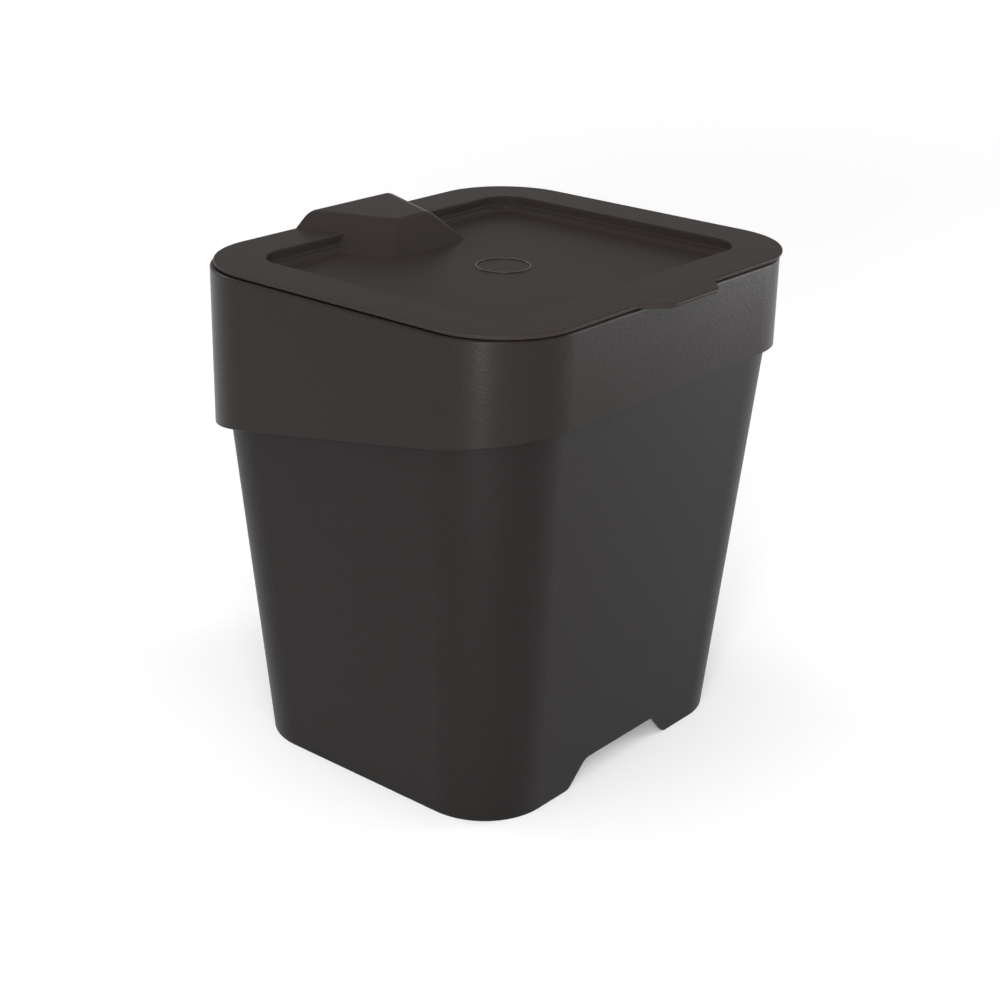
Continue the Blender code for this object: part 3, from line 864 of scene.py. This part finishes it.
class SINKBIN_OT_lid(bpy.types.Operator):
    """Build the lid with its sunk floor, thumb tab, hinge cover, rib and clips"""
    bl_idname = "sinkbin.lid"
    bl_label = "Lid"

    def execute(self, context):
        sizes, finish = context.scene.sink_bin_sizes, context.scene.sink_bin_finish
        axis = HINGE - BIN_PLACE
        outline, top = lid_outline(sizes), lid_top(sizes)
        lid = lid_plate(sizes)
        hollow = hump_block(
            "hump_hollow", sizes, LID_WALL, top - sizes.recess_depth - LID_WALL - OVERRUN,
            outline.centre_y + outline.half_y + OVERRUN, HUMP_ROUND - LID_WALL,
        )
        clip_root = top + sizes.hump_rise - LID_WALL / 2 - axis.z
        mouths = box_piece("clip_mouths", [(
            (-CLIP_OUTER_X - OVERRUN, axis.y - CLIP_MOUTH_WIDTH / 2, axis.z - EYE_RADIUS - OVERRUN),
            (CLIP_OUTER_X + OVERRUN, axis.y + CLIP_MOUTH_WIDTH / 2, axis.z - PIN_RADIUS / 2),
        )])
        combine(
            lid,
            ("UNION", lid_tab(sizes)),
            ("UNION", locating_rib(sizes)),
            ("UNION", lid_hump(sizes)),
            ("DIFFERENCE", hollow),
            ("UNION", eye_pair("lid_clips", CLIP_INNER_X, CLIP_THICKNESS, CLIP_BACK, clip_root)),
            ("DIFFERENCE", rod("clip_bore", PIN_RADIUS + SIDE_GAP, 2 * CLIP_OUTER_X + 2 * OVERRUN)),
            ("DIFFERENCE", mouths),
        )
        material = moulded_polypropylene(
            "lid_polypropylene", finish.lid, finish.grain, finish.roughness, LID_SHEEN
        )
        finish_piece(lid, "lid", material, ["lid"])
        return {"FINISHED"}


class SINKBIN_OT_lid_circle(bpy.types.Operator):
    """Build the plain raised circle in the middle of the lid's sunk floor"""
    bl_idname = "sinkbin.lid_circle"
    bl_label = "Lid circle"

    def execute(self, context):
        sizes, finish = context.scene.sink_bin_sizes, context.scene.sink_bin_finish
        floor_z = lid_top(sizes) - sizes.recess_depth
        outline = lid_outline(sizes)
        middle = Vector((0, outline.centre_y, 0))
        radius = sizes.circle_width / 2
        bm = bmesh.new()
        verts = bmesh.ops.create_grid(bm, x_segments=1, y_segments=1, size=0.5)["verts"]
        bmesh.ops.scale(bm, vec=(CIRCLE_THICKNESS, CIRCLE_HEIGHT + CIRCLE_SINK, 1), verts=verts)
        bmesh.ops.rotate(bm, matrix=Matrix.Rotation(math.pi / 2, 3, "X"), verts=verts)
        rise = floor_z + (CIRCLE_HEIGHT - CIRCLE_SINK) / 2
        place = middle + Vector((radius - CIRCLE_THICKNESS / 2, 0, rise))
        bmesh.ops.translate(bm, vec=place, verts=verts)
        bmesh.ops.bevel(
            bm, geom=[vert for vert in verts if vert.co.z > floor_z], offset=CIRCLE_ROUND,
            offset_type="OFFSET", segments=ROUND_STEPS, profile=0.5, affect="VERTICES", material=-1,
        )
        section = list(bm.edges)
        bmesh.ops.delete(bm, geom=list(bm.faces), context="FACES_ONLY")
        bmesh.ops.spin(
            bm, geom=section, cent=middle, axis=(0, 0, 1), angle=2 * math.pi, steps=CIRCLE_STEPS,
            use_merge=True,
        )
        bmesh.ops.recalc_face_normals(bm, faces=bm.faces)
        material = moulded_polypropylene(
            "lid_circle_polypropylene", finish.lid, finish.grain, finish.circle_roughness,
            CIRCLE_SHEEN,
        )
        finish_piece(to_object("lid_circle", bm), "lid", material)
        return {"FINISHED"}


def soft_lamp(name, place, target, width, height, watts):
    """A rectangular studio lamp that faces a point."""
    light = bpy.data.lights.new(name, "AREA")
    light.shape = "RECTANGLE"
    light.size, light.size_y, light.energy = width, height, watts
    lamp = bpy.data.objects.new(name, light)
    bpy.context.scene.collection.objects.link(lamp)
    lamp.visible_camera = False
    lamp.location = place
    lamp.rotation_euler = (Vector(target) - Vector(place)).to_track_quat("-Z", "Y").to_euler()


def photo_camera():
    """The camera at the photograph's angle."""
    forward = Vector((math.sin(CAMERA_AZIMUTH), math.cos(CAMERA_AZIMUTH), 0))
    look = forward * math.cos(CAMERA_FALL) - Vector((0, 0, math.sin(CAMERA_FALL)))
    right = Vector((math.cos(CAMERA_AZIMUTH), -math.sin(CAMERA_AZIMUTH), 0))
    up = right.cross(look)
    across = right * math.cos(CAMERA_ROLL) + up * math.sin(CAMERA_ROLL)
    upright = -right * math.sin(CAMERA_ROLL) + up * math.cos(CAMERA_ROLL)
    data = bpy.data.cameras.new("photo_camera")
    data.lens, data.sensor_width = CAMERA_LENS, CAMERA_SENSOR
    camera = bpy.data.objects.new("photo_camera", data)
    bpy.context.scene.collection.objects.link(camera)
    turn = Matrix((across, upright, -look)).transposed().to_4x4()
    camera.matrix_world = Matrix.Translation(CAMERA_PLACE) @ turn
    return camera


class SINKBIN_OT_stage(bpy.types.Operator):
    """Build the pale floor, the soft studio lamps, the white surroundings and the camera"""
    bl_idname = "sinkbin.stage"
    bl_label = "Stage"

    def execute(self, context):
        scene, finish = context.scene, context.scene.sink_bin_finish
        bm = bmesh.new()
        bmesh.ops.create_grid(bm, x_segments=1, y_segments=1, size=FLOOR_REACH)
        floor = to_object("studio_floor", bm)

        # Pale matte floor: plain to the camera, with the bin's own soft shadow on it
        material = bpy.data.materials.new("pale_floor_paint")
        material.use_nodes = True
        shader = material.node_tree.nodes["Principled BSDF"]
        shader.inputs["Base Color"].default_value = finish.floor
        shader.inputs["Roughness"].default_value = FLOOR_ROUGHNESS
        shader.inputs["Specular IOR Level"].default_value = 0
        shader.inputs["Emission Color"].default_value = (1, 1, 1, 1)
        place = add_node(material, "ShaderNodeTexCoord").outputs["Object"]
        away = add_node(
            material, "ShaderNodeVectorMath", {"operation": "LENGTH"}, None, {"Vector": place}
        )
        lift = add_node(
            material, "ShaderNodeMapRange", {"interpolation_type": "SMOOTHSTEP"},
            {"From Min": GLOW_START, "From Max": GLOW_END, "To Min": GLOW_NEAR, "To Max": GLOW_FAR},
            {"Value": away.outputs["Value"]},
        )
        glow = add_node(
            material, "ShaderNodeMath", {"operation": "MULTIPLY"}, None,
            {0: lift.outputs["Result"], 1: sees_straight(material)},
        )
        material.node_tree.links.new(glow.outputs["Value"], shader.inputs["Emission Strength"])
        floor.data.materials.append(material)

        # White behind the bin, and an even, dimmer room light on it. Mirror rays meet the white only
        # low down, because the lid mirrors the rest of the room at a grazing angle.
        world = bpy.data.worlds.new("white_studio")
        scene.world = world
        world.use_nodes = True
        background = world.node_tree.nodes["Background"]
        background.inputs["Color"].default_value = (1, 1, 1, 1)
        direction = add_node(world, "ShaderNodeTexCoord").outputs["Generated"]
        height = add_node(world, "ShaderNodeSeparateXYZ", None, None, {"Vector": direction})
        low = add_node(
            world, "ShaderNodeMapRange", {"interpolation_type": "SMOOTHSTEP"},
            {"From Min": 0, "From Max": MIRRORED_WHITE_HEIGHT, "To Min": 1, "To Max": 0},
            {"Value": height.outputs["Z"]},
        )
        mirrored = add_node(
            world, "ShaderNodeMath", {"operation": "MULTIPLY"}, None,
            {0: low.outputs["Result"], 1: sees_straight(world)},
        )
        path = add_node(world, "ShaderNodeLightPath").outputs
        seen = add_node(
            world, "ShaderNodeMath", {"operation": "MAXIMUM"}, None,
            {0: mirrored.outputs["Value"], 1: path["Is Camera Ray"]},
        )
        strength = add_node(
            world, "ShaderNodeMapRange", None, {"To Min": ROOM_LIGHT, "To Max": 1},
            {"Value": seen.outputs["Value"]},
        )
        world.node_tree.links.new(strength.outputs["Result"], background.inputs["Strength"])

        for lamp in LAMPS:
            soft_lamp(*lamp)
        scene.camera = photo_camera()
        scene.view_settings.view_transform = "Standard"
        return {"FINISHED"}


PIECES = (
    SINKBIN_OT_bucket, SINKBIN_OT_bag_ring, SINKBIN_OT_hinge_pin, SINKBIN_OT_lid, SINKBIN_OT_lid_circle,
    SINKBIN_OT_stage,
)


class SINKBIN_PT_panel(bpy.types.Panel):
    """The bin's sizes and finish, and one button for each piece and the stage"""
    bl_idname = "SINKBIN_PT_panel"
    bl_label = "Sink bin"
    bl_space_type = "VIEW_3D"
    bl_region_type = "UI"
    bl_category = "Sink bin"

    def draw(self, context):
        for group in (context.scene.sink_bin_sizes, context.scene.sink_bin_finish):
            column = self.layout.column(align=True)
            for name in group.__annotations__:
                column.prop(group, name)
        for piece in PIECES:
            self.layout.operator(piece.bl_idname)


CLASSES = (SinkBinSizes, SinkBinFinish, *PIECES, SINKBIN_PT_panel)


def register():
    for cls in CLASSES:
        bpy.utils.register_class(cls)
    bpy.types.Scene.sink_bin_sizes = bpy.props.PointerProperty(type=SinkBinSizes)
    bpy.types.Scene.sink_bin_finish = bpy.props.PointerProperty(type=SinkBinFinish)


def unregister():
    del bpy.types.Scene.sink_bin_finish
    del bpy.types.Scene.sink_bin_sizes
    for cls in reversed(CLASSES):
        bpy.utils.unregister_class(cls)


def main():
    register()
    bpy.ops.sinkbin.bucket()
    bpy.ops.sinkbin.bag_ring()
    bpy.ops.sinkbin.hinge_pin()
    bpy.ops.sinkbin.lid()
    bpy.ops.sinkbin.lid_circle()
    bpy.ops.sinkbin.stage()


if __name__ == "__main__":
    main()
